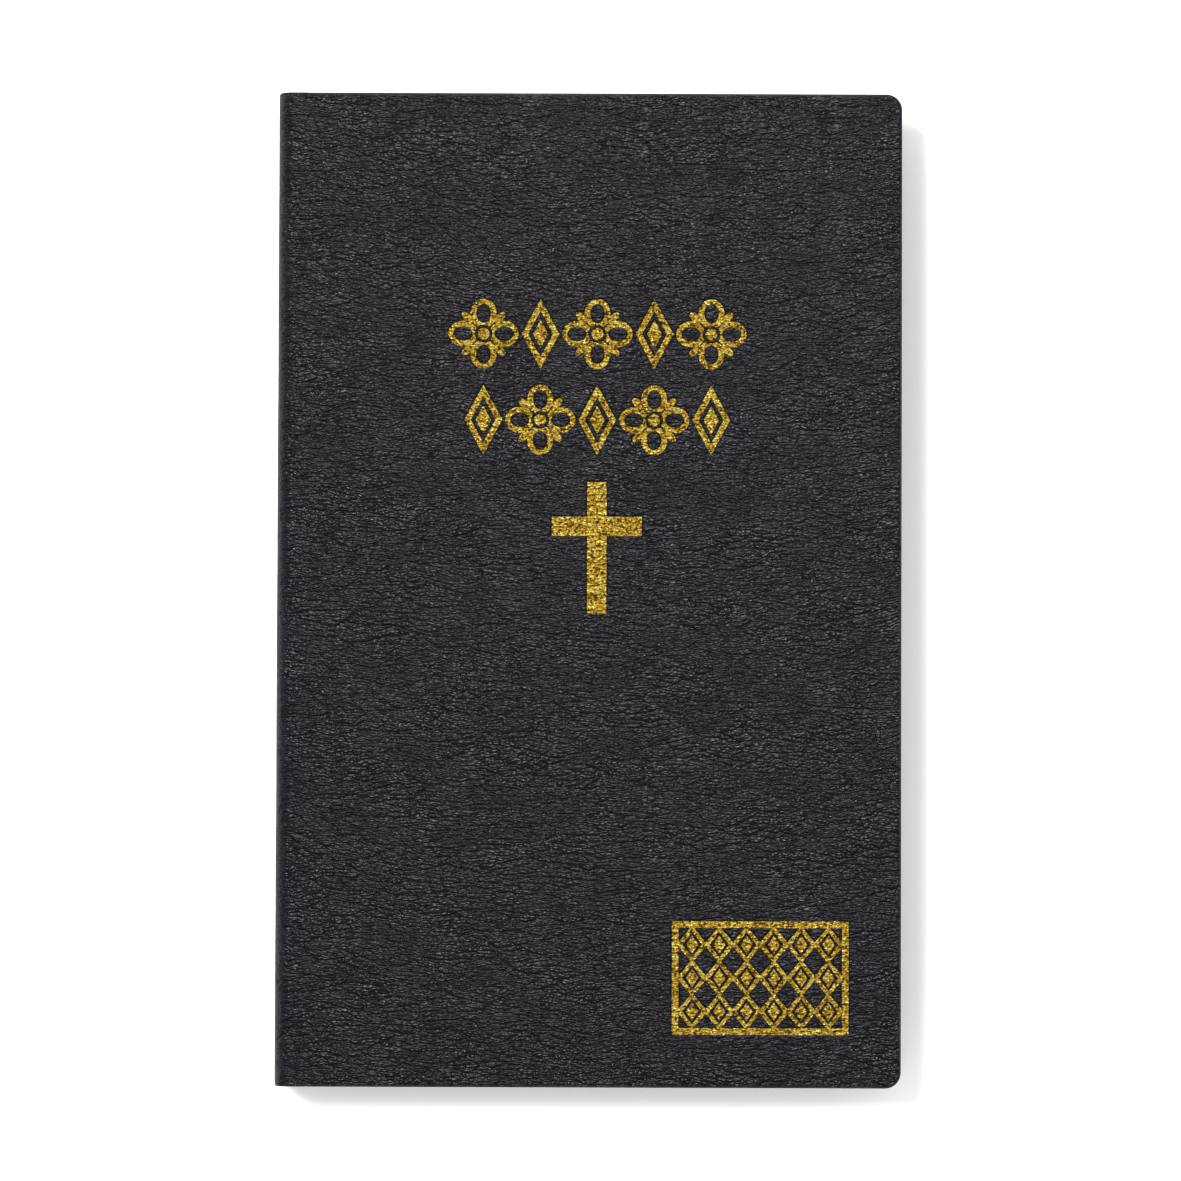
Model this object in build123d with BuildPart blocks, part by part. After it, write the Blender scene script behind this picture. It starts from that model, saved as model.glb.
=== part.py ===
"""Pocket-thin bible bound in flexible leather, lying closed on its back cover.

X runs from the spine (-X) to the fore-edge (+X), Y from the tail to the head, Z up.
The origin is the centre of the back cover's outer face. The book is symmetric about
its middle plane, apart from the gilt tooling on the front cover, so each piece of the
front half is drawn once and mirrored to make the piece of the rear half.
"""
import os

from build123d import *

os.makedirs("parts", exist_ok=True)

# Overall size, in millimetres
width = 132.5               # spine to fore-edge, over the covers
height = 211.0              # tail to head, over the covers
thickness = 21.0            # over both covers
corner_round = 3.3          # fore-edge corners of the covers, seen from above
spine_round = 3.0           # where the spine turns into the sides
joint_width = 5.5           # spine's outer face to the line where a cover flexes

# Cover, from its outer face inwards
leather = 0.8
board = 0.7
turned_leather = 0.4        # pared leather folded over the board's edges
pastedown = 0.15
turn_in = 12.0              # width of the folded leather round the inside
cover_edge_round = 0.75
board_gap = 1.2             # joint line to the board's edge, left free to flex

# Spine, from its outer face inwards
liner = 0.45                # strip that stiffens the spine leather
lining = 0.3                # paper glued over the mull
mull = 0.25                 # open cloth glued to the section folds
spine_turn_in = 8.0         # leather folded in at head and tail
spine_edge_round = 0.6

# Text block
square = 3.2                # how far the covers stand out past the leaves
block_round = 3.0           # fore-edge corners of the leaves
flyleaf = 0.15
sections_per_half = 10
leaf = 0.12
leaves_per_half = 3
play = 0.03                 # air between sheets that part from each other
flyleaf_start = 1.0         # joint line to the line where the flyleaf lifts
leaf_start = 0.3            # section folds to the line where a middle leaf lifts

# Sewing and headbands
sewing_stations = 6
station_spacing = 32.0
kerf_depth = 0.45
kerf_width = 0.6
thread_diameter = 0.3
bead_radius = 0.7
headband_tab = 7.0          # length of the headband's cloth glued to the spine

# Gilt tooling, sunk into the front cover
deboss = 0.2
foil = 0.05
tooling_x = 1.6             # the tooling is centred between the joint and the fore-edge
upper_row_y = 54.2
lower_row_y = 35.9
row_motifs = 5
row_pitch = 12.1
petal_place = 4.35          # middle of the flower to the middle of a petal
petal_half = (3.1, 2.75)    # half length and half width of a petal
petal_hollow = (2.05, 1.55)
bud_place = 4.9
bud_half = (1.5, 0.75)
eye_hollow = 1.9            # radius of the clear ring round the flower's eye
eye_radius = 1.25
lozenge_half = (4.0, 7.4)   # half width and half height of the upright diamond
lozenge_hollow = (2.65, 4.9)
lozenge_heart = (1.6, 3.0)
cross_top = 22.7
cross_length = 27.9
cross_span = 19.1
cross_bar = 4.1
cross_arm_y = 13.3
panel_x = 36.5
panel_y = -82.3
panel_width = 37.4
panel_height = 24.0
panel_rule = 1.4             # frame round the panel
panel_columns = 6
panel_rows = 3
lattice_line = 0.8
lattice_steps = (           # diamonds of each cell: outline, opening, middle
    (lattice_line / 2, Mode.ADD),
    (-lattice_line, Mode.SUBTRACT),
    (-2 * lattice_line, Mode.ADD),
)

# Worked out from the above
spine_x = -width / 2
fore_edge_x = width / 2
joint_x = spine_x + joint_width
middle = thickness / 2
half_start = middle + play / 2
middle_plane = Plane.XY.offset(middle)
cover = leather + board + turned_leather + pastedown
fold_x = spine_x + leather + liner + lining + mull
block_fore_x = fore_edge_x - square
block_head = height / 2 - square
block_top = thickness - cover - play - flyleaf - play
block_bottom = half_start + leaves_per_half * (leaf + play)
section = (block_top - block_bottom) / sections_per_half
corner_x = spine_x + spine_round
corner_z = thickness - spine_round
flyleaf_x = joint_x + flyleaf_start
leaf_x = fold_x + leaf_start


def save(piece, name):
    """Label a finished piece and write it."""
    piece.part.label = name
    export_step(piece.part, f"parts/{name}.step")


def save_pair(front, front_name, rear_name):
    """Write a piece of the front half and its mirror image in the rear half."""
    save(front, front_name)
    with BuildPart() as rear:
        mirror(front.part, about=middle_plane)
    save(rear, rear_name)


def sheet_outline(start_x, end_x, half_height, corner):
    """Rectangle between two X places, with its two fore-edge corners rounded."""
    with Locations(((start_x + end_x) / 2, 0)):
        Rectangle(end_x - start_x, 2 * half_height)
    fillet(vertices().group_by(Axis.X)[-1], corner)


def cover_outline(start_x, inset):
    """Outline of a front cover layer that stops short of the cover's edges by inset."""
    corner = max(corner_round - inset, 1)
    sheet_outline(start_x, fore_edge_x - inset, height / 2 - inset, corner)


def bent_strip(outside, inside, end_x):
    """Section of a strip, between two depths, that turns from the spine to the front."""
    outer = spine_round - outside
    inner = spine_round - inside
    with BuildLine() as edge:
        Line((corner_x - outer, half_start), (corner_x - outer, corner_z))
        CenterArc((corner_x, corner_z), outer, 90, 90)
        Line((corner_x, corner_z + outer), (end_x, corner_z + outer))
        Line((end_x, corner_z + outer), (end_x, corner_z + inner))
        Line((end_x, corner_z + inner), (corner_x, corner_z + inner))
        CenterArc((corner_x, corner_z), inner, 90, 90)
        Line((corner_x - inner, corner_z), (corner_x - inner, half_start))
        Line((corner_x - inner, half_start), (corner_x - outer, half_start))
    make_face(edge.edges())


def cross_shape():
    """Latin cross with plain square arms."""
    with Locations((tooling_x, cross_top - cross_length / 2)):
        Rectangle(cross_bar, cross_length)
    with Locations((tooling_x, cross_arm_y)):
        Rectangle(cross_span, cross_bar)


def quatrefoil():
    """Flower of four open petals, with a bud between each two and one in the middle."""
    petals = PolarLocations(petal_place, 4, start_angle=90)
    with petals:
        Ellipse(*petal_half)
    with petals:
        Ellipse(*petal_hollow, mode=Mode.SUBTRACT)
    with PolarLocations(bud_place, 4, start_angle=45):
        Ellipse(*bud_half)
    Circle(eye_hollow, mode=Mode.SUBTRACT)
    Circle(eye_radius)


def diamond(half_width, half_height, mode=Mode.ADD):
    """Upright diamond at each active place."""
    Polygon(
        (0, half_height), (half_width, 0), (0, -half_height), (-half_width, 0), mode=mode
    )


def lozenge():
    """Upright diamond ring with a small diamond in it."""
    diamond(*lozenge_half)
    diamond(*lozenge_hollow, Mode.SUBTRACT)
    diamond(*lozenge_heart)


with BuildSketch() as quatrefoil_motif:
    quatrefoil()
with BuildSketch() as lozenge_motif:
    lozenge()


def ornament_row(centre_y, motifs):
    """Row of tooled motifs, two kinds in turn, side by side across the cover."""
    for place in range(row_motifs):
        across = (place - (row_motifs - 1) / 2) * row_pitch
        with Locations((tooling_x + across, centre_y)):
            add(motifs[place % len(motifs)].sketch)


def upper_row():
    """Row that starts and ends with a flower."""
    ornament_row(upper_row_y, (quatrefoil_motif, lozenge_motif))


def lower_row():
    """Row that starts and ends with a diamond."""
    ornament_row(lower_row_y, (lozenge_motif, quatrefoil_motif))


def corner_panel():
    """Rectangular frame round a lattice of overlapping diamonds."""
    inner_width = panel_width - 2 * panel_rule
    inner_height = panel_height - 2 * panel_rule
    cell_width = inner_width / panel_columns
    cell_height = inner_height / panel_rows
    with Locations((panel_x, panel_y)):
        Rectangle(panel_width, panel_height)
        Rectangle(inner_width, inner_height, mode=Mode.SUBTRACT)
    for growth, mode in lattice_steps:
        with Locations((panel_x, panel_y)):
            with GridLocations(cell_width, cell_height, panel_columns, panel_rows):
                diamond(cell_width / 2 + growth, cell_height / 2 + growth, mode)


tooling = {
    "upper_ornament_foil": upper_row,
    "lower_ornament_foil": lower_row,
    "cross_foil": cross_shape,
    "corner_panel_foil": corner_panel,
}

# Cover leather: outer sheet, folded round the board's three free edges
with BuildPart() as cover_leather:
    wrapped = leather + board + turned_leather
    with BuildSketch(Plane.XY.offset(thickness - wrapped)):
        cover_outline(joint_x, 0)
    extrude(amount=wrapped)
    rim = cover_leather.faces().sort_by(Axis.Z)[-1].edges().sort_by(Axis.X)[1:]
    fillet(rim, cover_edge_round)
    with BuildSketch(Plane.XY.offset(thickness - leather - board)):
        cover_outline(joint_x + board_gap, leather)
    extrude(amount=board, mode=Mode.SUBTRACT)
    with BuildSketch(Plane.XY.offset(thickness - wrapped)):
        cover_outline(joint_x + board_gap, turn_in)
    extrude(amount=turned_leather, mode=Mode.SUBTRACT)

with BuildPart() as stamped_leather:
    add(cover_leather.part)
    with BuildSketch(Plane.XY.offset(thickness - deboss)):
        for shape in tooling.values():
            shape()
    extrude(amount=deboss, mode=Mode.SUBTRACT)
save(stamped_leather, "front_cover_leather")

with BuildPart() as back_leather:
    mirror(cover_leather.part, about=middle_plane)
save(back_leather, "back_cover_leather")

# Gilt tooling: thin foil on the floor of each sunk shape
for name, shape in tooling.items():
    with BuildPart() as gilt:
        with BuildSketch(Plane.XY.offset(thickness - deboss)):
            shape()
        extrude(amount=foil)
    save(gilt, name)

# Flexible board inside each cover
with BuildPart() as cover_board:
    with BuildSketch(Plane.XY.offset(thickness - leather - board)):
        cover_outline(joint_x + board_gap, leather)
    extrude(amount=board)
save_pair(cover_board, "front_cover_board", "back_cover_board")

# Card that fills the inside between the folded leather, level with it
with BuildPart() as infill:
    with BuildSketch(Plane.XY.offset(thickness - leather - board - turned_leather)):
        cover_outline(joint_x + board_gap, turn_in)
    extrude(amount=turned_leather)
save_pair(infill, "front_infill_card", "back_infill_card")

# Paper pasted over the inside of the cover
with BuildPart() as pasted:
    with BuildSketch(Plane.XY.offset(thickness - cover)):
        cover_outline(joint_x + play, square)
    extrude(amount=pastedown)
save_pair(pasted, "front_pastedown", "back_pastedown")

# Spine leather: bent sheet, doubled where it is folded in at head and tail
with BuildPart() as spine_leather:
    with BuildSketch(Plane.XZ.offset(-height / 2)):
        bent_strip(0, leather, joint_x - play)
    extrude(amount=height)
    outer_skin = (
        spine_leather.faces().sort_by(Axis.X)[0].edges()
        + spine_leather.faces().filter_by(GeomType.CYLINDER).sort_by(SortBy.AREA)[-1].edges()
        + spine_leather.faces().sort_by(Axis.Z)[-1].edges()
    )
    rim = [edge for edge in outer_skin if abs(edge.center().Y) > height / 2 - play]
    fillet(rim, spine_edge_round)
    for end_y in (height / 2 - leather, spine_turn_in - height / 2):
        with BuildSketch(Plane.XZ.offset(-end_y)):
            bent_strip(leather, leather + liner, joint_x - board_gap)
        extrude(amount=spine_turn_in - leather)
save_pair(spine_leather, "spine_leather_front", "spine_leather_rear")

# Liner that stiffens the spine leather between its folded-in ends
with BuildPart() as spine_liner:
    liner_end_y = height / 2 - spine_turn_in
    with BuildSketch(Plane.XZ.offset(-liner_end_y)):
        bent_strip(leather, leather + liner, joint_x - board_gap)
    extrude(amount=2 * liner_end_y)
save_pair(spine_liner, "spine_liner_front", "spine_liner_rear")

# Paper lining down the spine, over the mull, up to where the spine starts to turn
with BuildPart() as spine_lining:
    with BuildSketch(Plane.XY.offset(half_start)):
        with Locations((spine_x + leather + liner + lining / 2, 0)):
            Rectangle(lining, 2 * block_head)
    extrude(amount=corner_z - half_start)
save_pair(spine_lining, "spine_lining_front", "spine_lining_rear")

# Mull glued to the section folds, between the headbands' cloth tabs
with BuildPart() as mull_strip:
    with BuildSketch(Plane.XY.offset(half_start)):
        with Locations((fold_x - mull / 2, 0)):
            Rectangle(mull, 2 * (block_head - headband_tab))
    extrude(amount=block_top - half_start)
save_pair(mull_strip, "mull_front", "mull_rear")

# Headbands: a rolled bead over the leaves' edge, on a cloth tab glued to the spine
for end, side in (("head", 1), ("tail", -1)):
    with BuildPart() as headband:
        with BuildSketch(Plane.XY.offset(half_start)):
            with Locations((fold_x - mull / 2, side * (block_head - headband_tab / 2))):
                Rectangle(mull, headband_tab)
            with Locations((fold_x + bead_radius - mull, side * (block_head + bead_radius))):
                Circle(bead_radius)
            with Locations((fold_x - mull / 2, side * (block_head + bead_radius / 2))):
                Rectangle(mull, bead_radius)
        extrude(amount=block_top - half_start)
    save_pair(headband, f"headband_{end}_front", f"headband_{end}_rear")

# Sections: folded gatherings with kerfs in their folds for the sewing thread
for number in range(sections_per_half):
    section_z = block_top - (number + 1) * section
    with BuildPart() as gathering:
        with BuildSketch(Plane.XY.offset(section_z)):
            sheet_outline(fold_x, block_fore_x, block_head, block_round)
            with Locations((fold_x + kerf_depth / 2, 0)):
                with GridLocations(0, station_spacing, 1, sewing_stations):
                    Rectangle(kerf_depth, kerf_width, mode=Mode.SUBTRACT)
        extrude(amount=section)
    front_name = f"section_{number + 1:02d}"
    rear_name = f"section_{2 * sections_per_half - number:02d}"
    save_pair(gathering, front_name, rear_name)

# Sewing thread, one run along the kerfs at each station
with BuildPart() as thread:
    with BuildSketch(Plane.XY.offset(block_bottom)):
        with Locations((fold_x + kerf_depth / 2, 0)):
            with GridLocations(0, station_spacing, 1, sewing_stations):
                Circle(thread_diameter / 2)
    extrude(amount=block_top - block_bottom)
save_pair(thread, "sewing_thread_front", "sewing_thread_rear")

# Leaves at the middle of the book, numbered outwards from the sections
for number in range(leaves_per_half):
    leaf_z = block_bottom - (number + 1) * (leaf + play)
    with BuildPart() as page:
        with BuildSketch(Plane.XY.offset(leaf_z)):
            sheet_outline(leaf_x, block_fore_x, block_head, block_round)
        extrude(amount=leaf)
    save_pair(page, f"middle_leaf_front_{number + 1}", f"middle_leaf_rear_{number + 1}")

# Flyleaf under each cover
with BuildPart() as endpaper:
    with BuildSketch(Plane.XY.offset(block_top + play)):
        sheet_outline(flyleaf_x, block_fore_x, block_head, block_round)
    extrude(amount=flyleaf)
save_pair(endpaper, "front_flyleaf", "back_flyleaf")

# Cloth guard in the joint, between the text block and the spine leather
with BuildPart() as guard:
    guard_top = thickness - leather - liner
    tongue_top = block_top + play + flyleaf
    with BuildSketch(Plane.XZ.offset(-block_head)):
        with BuildLine():
            Polyline(
                (corner_x, block_top),
                (flyleaf_x - play, block_top),
                (flyleaf_x - play, tongue_top),
                (joint_x - play, tongue_top),
                (joint_x - play, guard_top),
                (corner_x, guard_top),
                close=True,
            )
        make_face()
    extrude(amount=2 * block_head)
save_pair(guard, "front_guard", "back_guard")
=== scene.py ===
import math

import bpy
import numpy as np
from mathutils import Matrix, Vector
from mathutils.geometry import delaunay_2d_cdt
from mathutils.kdtree import KDTree


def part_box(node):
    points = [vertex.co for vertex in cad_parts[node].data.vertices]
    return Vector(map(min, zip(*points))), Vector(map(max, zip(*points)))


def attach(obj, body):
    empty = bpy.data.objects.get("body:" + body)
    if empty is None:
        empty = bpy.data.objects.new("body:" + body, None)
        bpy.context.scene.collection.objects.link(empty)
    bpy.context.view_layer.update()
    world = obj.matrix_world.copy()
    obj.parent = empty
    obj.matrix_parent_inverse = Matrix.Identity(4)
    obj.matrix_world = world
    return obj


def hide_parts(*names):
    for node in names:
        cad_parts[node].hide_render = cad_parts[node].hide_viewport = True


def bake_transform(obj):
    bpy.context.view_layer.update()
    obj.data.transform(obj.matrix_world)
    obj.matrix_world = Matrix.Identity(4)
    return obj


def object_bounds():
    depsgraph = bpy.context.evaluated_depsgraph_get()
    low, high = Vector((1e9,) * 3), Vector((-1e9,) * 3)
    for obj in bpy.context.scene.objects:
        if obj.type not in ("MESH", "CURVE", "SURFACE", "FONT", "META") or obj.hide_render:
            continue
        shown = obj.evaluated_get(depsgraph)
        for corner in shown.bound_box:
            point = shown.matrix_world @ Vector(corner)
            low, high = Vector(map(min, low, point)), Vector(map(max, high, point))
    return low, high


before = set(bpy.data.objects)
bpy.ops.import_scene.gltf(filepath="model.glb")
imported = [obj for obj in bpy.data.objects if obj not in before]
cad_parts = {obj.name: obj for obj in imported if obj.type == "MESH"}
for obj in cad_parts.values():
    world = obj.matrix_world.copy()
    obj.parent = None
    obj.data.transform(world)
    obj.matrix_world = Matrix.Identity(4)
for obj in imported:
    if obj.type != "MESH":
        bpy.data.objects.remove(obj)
cad_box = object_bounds()

# The meshes are worked out in millimetres and written in metres
MM = 0.001
METRES_TO_MM = (1000, 1000, 1000)


def box_mm(node):
    """Lowest and highest corner of a CAD node, in millimetres."""
    low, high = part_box(node)
    return np.array(low) / MM, np.array(high) / MM


# Places taken from the frame
LOW, HIGH = np.array(cad_box[0]) / MM, np.array(cad_box[1]) / MM
THICKNESS = HIGH[2]
SPINE_X, FORE_X = LOW[0], HIGH[0]
HALF_HEIGHT = HIGH[1]
MIDDLE = THICKNESS / 2
JOINT_X = box_mm("front_cover_leather")[0][0]
WRAPPED = THICKNESS - box_mm("front_cover_leather")[0][2]
BOARD_X = box_mm("front_cover_board")[0][0]
LEATHER = THICKNESS - box_mm("front_cover_board")[1][2]
FOLD_X = box_mm("section_01")[0][0]
BLOCK_HEAD = box_mm("section_01")[1][1]
FOIL_NODES = ("cross_foil", "upper_ornament_foil", "lower_ornament_foil", "corner_panel_foil")
FOIL_FLOOR = box_mm("cross_foil")[0][2]
DEBOSS = THICKNESS - FOIL_FLOOR

# Shape of the leather
COVER_CORNER = 3.3
SPINE_ROUND = THICKNESS - box_mm("spine_lining_front")[1][2]
CORNER_X = SPINE_X + SPINE_ROUND
BLOCK_CORNER = 3.0
EDGE_ROUND = 0.75
INNER_EDGE_ROUND = 0.35
DEBOSS_WALL = 0.3
FOIL_EDGE = 0.02
FOIL_GAP = 0.02
SPINE_BEND = 1.6
PINCHED = 0.3

# Spacing of the leather's mesh
BEND_STEP = 0.25
BEND_STEP_Y = 1.0
GRID_X = 0.72
GRID_Y = 0.66
FINE_X = 0.24
FINE_Y = 0.22
UNDER_STEP = 2.4
UNDER_BEND_STEP_Y = 3.0
EDGE_COUNT = 118
FORE_EDGE_COUNT = 206
CORNER_LINE_COUNT = 212


# ---------------------------------------------------------------- small tools


def smooth(t):
    """Smoothstep of t, held between 0 and 1."""
    t = np.clip(t, 0, 1)
    return t * t * (3 - 2 * t)


def gradient_noise(x, y, seed):
    """Smooth noise of about -0.7 to 0.7 whose features are one unit wide."""
    angles = np.random.default_rng(seed).uniform(0, 2 * np.pi, (256, 256))
    cell_x, cell_y = np.floor(x).astype(int), np.floor(y).astype(int)
    along, across = x - cell_x, y - cell_y

    def corner(i, j):
        angle = angles[(cell_x + i) % 256, (cell_y + j) % 256]
        return np.cos(angle) * (along - i) + np.sin(angle) * (across - j)

    ease_x = along**3 * (along * (along * 6 - 15) + 10)
    ease_y = across**3 * (across * (across * 6 - 15) + 10)
    near = corner(0, 0) + ease_x * (corner(1, 0) - corner(0, 0))
    far = corner(0, 1) + ease_x * (corner(1, 1) - corner(0, 1))
    return near + ease_y * (far - near)


# Each set of wrinkles: turn in degrees, length and pitch in mm, and seed
WRINKLE_SETS = ((8, 9.0, 2.6, 3), (28, 12.0, 3.4, 4), (-14, 10.0, 3.0, 5))
WRINKLE_HEIGHT = 0.05
SWELL_HEIGHT = 0.05


def hide_relief(u, v):
    """Height in mm of the hide's wrinkles at a place on the flat hide."""
    warped_u = u + 3.0 * gradient_noise(u / 16, v / 16, 1)
    warped_v = v + 2.5 * gradient_noise(u / 19, v / 13, 2)
    wrinkles = np.zeros_like(u)
    for turn, length, pitch, seed in WRINKLE_SETS:
        c, s = math.cos(math.radians(turn)), math.sin(math.radians(turn))
        a = (c * warped_u + s * warped_v) / length
        b = (-s * warped_u + c * warped_v) / pitch
        mask = smooth(0.5 + 1.2 * gradient_noise(u / 37 + seed, v / 31, seed + 20))
        wrinkles += mask * (0.35 - np.abs(gradient_noise(a, b, seed)))
    swell = gradient_noise(u / 23, v / 18, 9)
    return WRINKLE_HEIGHT * wrinkles + SWELL_HEIGHT * swell


def add_piece(name, points, faces, uvs=None):
    """New mesh object from points in mm and faces, smooth shaded, with its flat layout as UVs."""
    mesh = bpy.data.meshes.new(name)
    mesh.from_pydata((np.asarray(points) * MM).tolist(), [], faces)
    mesh.update()
    if uvs is not None:
        corners = np.empty(len(mesh.loops), dtype=np.int64)
        mesh.loops.foreach_get("vertex_index", corners)
        layer = mesh.uv_layers.new(name="flat")
        layer.data.foreach_set("uv", (np.asarray(uvs)[corners] * MM).astype(np.float32).ravel())
    mesh.shade_smooth()
    piece = bpy.data.objects.new(name, mesh)
    bpy.context.scene.collection.objects.link(piece)
    return piece


SHARP_ANGLE = math.radians(50)
EDGE_NORMAL_Z = 0.5


def sharpened(piece):
    """The piece with its square edges left unsmoothed."""
    piece.data.set_sharp_from_angle(angle=SHARP_ANGLE)
    return piece


def dress(piece, material, edge_material=None):
    """Give a piece its material, and perhaps another for its edges."""
    piece.data.materials.clear()
    piece.data.materials.append(material)
    if edge_material:
        piece.data.materials.append(edge_material)
        for polygon in piece.data.polygons:
            polygon.material_index = int(abs(polygon.normal.z) < EDGE_NORMAL_Z)
    return piece


# ---------------------------------------------------------------- materials


# Sockets of a Mix node that mixes colours
MIX_FACTOR, MIX_FIRST, MIX_SECOND, MIX_RESULT = 0, 6, 7, 2


class Graph:
    """One material's node tree, built by short calls."""

    def __init__(self, name):
        self.material = bpy.data.materials.new(name)
        self.material.use_nodes = True
        self.nodes = self.material.node_tree.nodes
        self.links = self.material.node_tree.links
        self.nodes.clear()
        self.coordinates = self.nodes.new("ShaderNodeTexCoord")

    def feed(self, socket, value):
        """Link a socket to another node's socket, or set its value."""
        if isinstance(value, bpy.types.NodeSocket):
            self.links.new(value, socket)
        else:
            socket.default_value = value

    def add(self, kind, inputs=None, **settings):
        """New node; an input is a value or another node's socket."""
        made = self.nodes.new("ShaderNode" + kind)
        for key, value in settings.items():
            setattr(made, key, value)
        for key, value in (inputs or {}).items():
            self.feed(made.inputs[key], value)
        return made

    def math(self, operation, first, second=0.0):
        """Result of one sum."""
        return self.add("Math", {0: first, 1: second}, operation=operation).outputs[0]

    def mapped(self, source, scale, turn=0.0, shift=(0, 0, 0)):
        """Coordinates scaled, turned about Z in degrees, and shifted."""
        rotation = (0, 0, math.radians(turn))
        inputs = {"Vector": source, "Scale": scale, "Rotation": rotation, "Location": shift}
        return self.add("Mapping", inputs).outputs[0]

    def in_mm(self, kind):
        """Texture coordinates of one kind, such as Object or UV, in millimetres."""
        return self.mapped(self.coordinates.outputs[kind], METRES_TO_MM)

    def noise(self, vector, scale, detail=2.0, roughness=0.5, dimensions="3D"):
        """Noise value of 0 to 1."""
        inputs = {"Vector": vector, "Scale": scale, "Detail": detail, "Roughness": roughness}
        return self.add("TexNoise", inputs, noise_dimensions=dimensions).outputs[0]

    def ramp(self, value, low, high, to_low=0.0, to_high=1.0):
        """Value moved from one range to another and held there."""
        inputs = {"Value": value, "From Min": low, "From Max": high}
        inputs.update({"To Min": to_low, "To Max": to_high})
        return self.add("MapRange", inputs).outputs[0]

    def blend_colours(self, factor, first, second):
        """Mix of two colours."""
        inputs = {MIX_FACTOR: factor, MIX_FIRST: first, MIX_SECOND: second}
        return self.add("Mix", inputs, data_type="RGBA").outputs[MIX_RESULT]

    def bump(self, height, distance, strength=1.0, normal=None):
        """Normal pushed by a height field whose full range is `distance` metres."""
        inputs = {"Height": height, "Distance": distance, "Strength": strength}
        if normal is not None:
            inputs["Normal"] = normal
        return self.add("Bump", inputs).outputs[0]

    def finish(self, **inputs):
        """Principled surface with these inputs, and the finished material."""
        surface = self.nodes.new("ShaderNodeBsdfPrincipled")
        for key, value in inputs.items():
            self.feed(surface.inputs[key.replace("_", " ")], value)
        output = self.nodes.new("ShaderNodeOutputMaterial")
        self.links.new(surface.outputs[0], output.inputs[0])
        return self.material


def warped(graph, source, scale, reach):
    """Coordinates pushed about by noise, up to about half of `reach` each way."""
    inputs = {"Vector": source, "Scale": scale, "Detail": 1.0}
    drift = graph.add("TexNoise", inputs, noise_dimensions="2D").outputs[1]
    inputs = {0: drift, 1: (0.5, 0.5, 0.5)}
    centred = graph.add("VectorMath", inputs, operation="SUBTRACT").outputs[0]
    inputs = {0: centred, 1: (reach, reach, 0.0), 2: source}
    return graph.add("VectorMath", inputs, operation="MULTIPLY_ADD").outputs[0]


def network(graph, field, width):
    """0 along the edges of scattered cells, rising to 1 at `width` of a cell from them."""
    settings = {"feature": "DISTANCE_TO_EDGE", "voronoi_dimensions": "2D"}
    cells = graph.add("TexVoronoi", {"Vector": field, "Scale": 1.0}, **settings)
    inputs = {"Value": cells.outputs["Distance"], "From Min": 0.0, "From Max": width}
    return graph.add("MapRange", inputs, interpolation_type="SMOOTHSTEP").outputs[0]


def leather_grain(graph, source):
    """Height, 0 to 1, of long wavy creases over a fine pebbled grain, from a source in millimetres."""
    wavy = warped(graph, warped(graph, source, 0.07, 3.5), 0.45, 0.45)
    level = network(graph, graph.mapped(wavy, (0.26, 0.98, 1), -3), 0.25)
    falling = network(graph, graph.mapped(wavy, (0.085, 0.34, 1), 27, (13, 41, 0)), 0.12)
    rising = network(graph, graph.mapped(wavy, (0.075, 0.28, 1), -29, (31, 7, 0)), 0.10)
    fine = network(graph, graph.mapped(wavy, (0.9, 2.0, 1), 7, (5, 67, 0)), 0.4)
    shown = graph.ramp(graph.noise(source, 0.05, 2.0, 0.5, "2D"), 0.5, 0.62)
    crossing = graph.math("MINIMUM", rising, graph.math("MAXIMUM", falling, shown))
    height = graph.math("MULTIPLY", crossing, 0.4)
    height = graph.math("ADD", height, graph.math("MULTIPLY", level, 0.34))
    return graph.math("ADD", height, graph.math("MULTIPLY", fine, 0.26))


GRAIN_DEPTH = 0.00034
PORE_DEPTH = 0.00003


def leather_material():
    """Black satin leather with a wrinkled grain, darker in its crease valleys as painted shade, in the
    hide's flat coordinates.
    """
    graph = Graph("black_leather")
    flat = graph.in_mm("UV")
    grain = leather_grain(graph, flat)
    pores = graph.noise(flat, 3.4, 3.0, 0.6, "2D")
    rough_field = graph.noise(flat, 0.09, 2.0, 0.5, "2D")
    normal = graph.bump(grain, GRAIN_DEPTH)
    normal = graph.bump(pores, PORE_DEPTH, 0.6, normal)
    # Base colour darker in the grain's crease valleys and lighter on its tops: painted shade.
    colour = graph.blend_colours(grain, (0.003, 0.003, 0.0042, 1), (0.010, 0.0095, 0.0148, 1))
    return graph.finish(
        Base_Color=colour,
        Roughness=graph.ramp(rough_field, 0.3, 0.7, 0.33, 0.40),
        Specular_IOR_Level=0.5,
        Normal=normal,
    )


FOIL_SPECK_DEPTH = 0.0004
FOIL_GRAIN_DEPTH = 0.0005


def foil_material():
    """Gold foil pressed into leather: bright metal over the grain, broken up by fine specks, with
    painted light and shade following the grain.
    """
    graph = Graph("gold_foil")
    place = graph.in_mm("Object")
    grain = leather_grain(graph, place)
    speck = graph.noise(place, 1.9, 2.0, 0.6)
    worn = graph.ramp(speck, 0.38, 0.5)
    colour = graph.blend_colours(worn, (0.10, 0.04, 0.001, 1), (0.70, 0.41, 0.022, 1))
    bright = graph.blend_colours(graph.ramp(speck, 0.5, 0.57), colour, (1.0, 0.82, 0.17, 1))
    normal = graph.bump(speck, FOIL_SPECK_DEPTH)
    normal = graph.bump(grain, FOIL_GRAIN_DEPTH, 1.0, normal)
    return graph.finish(
        # Colour lighter on the grain's tops and darker in its crease valleys, as painted light and
        # shade.
        Base_Color=graph.blend_colours(graph.ramp(grain, 0.3, 0.6), colour, bright),
        Metallic=0.6,
        Roughness=graph.ramp(speck, 0.35, 0.65, 0.5, 0.3),
        Normal=normal,
    )


PAGE_LIGHT = (0.54, 0.505, 0.425, 1)
PAGE_DARK = (0.475, 0.445, 0.37, 1)
FIBRE_DEPTH = 0.00002


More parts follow.
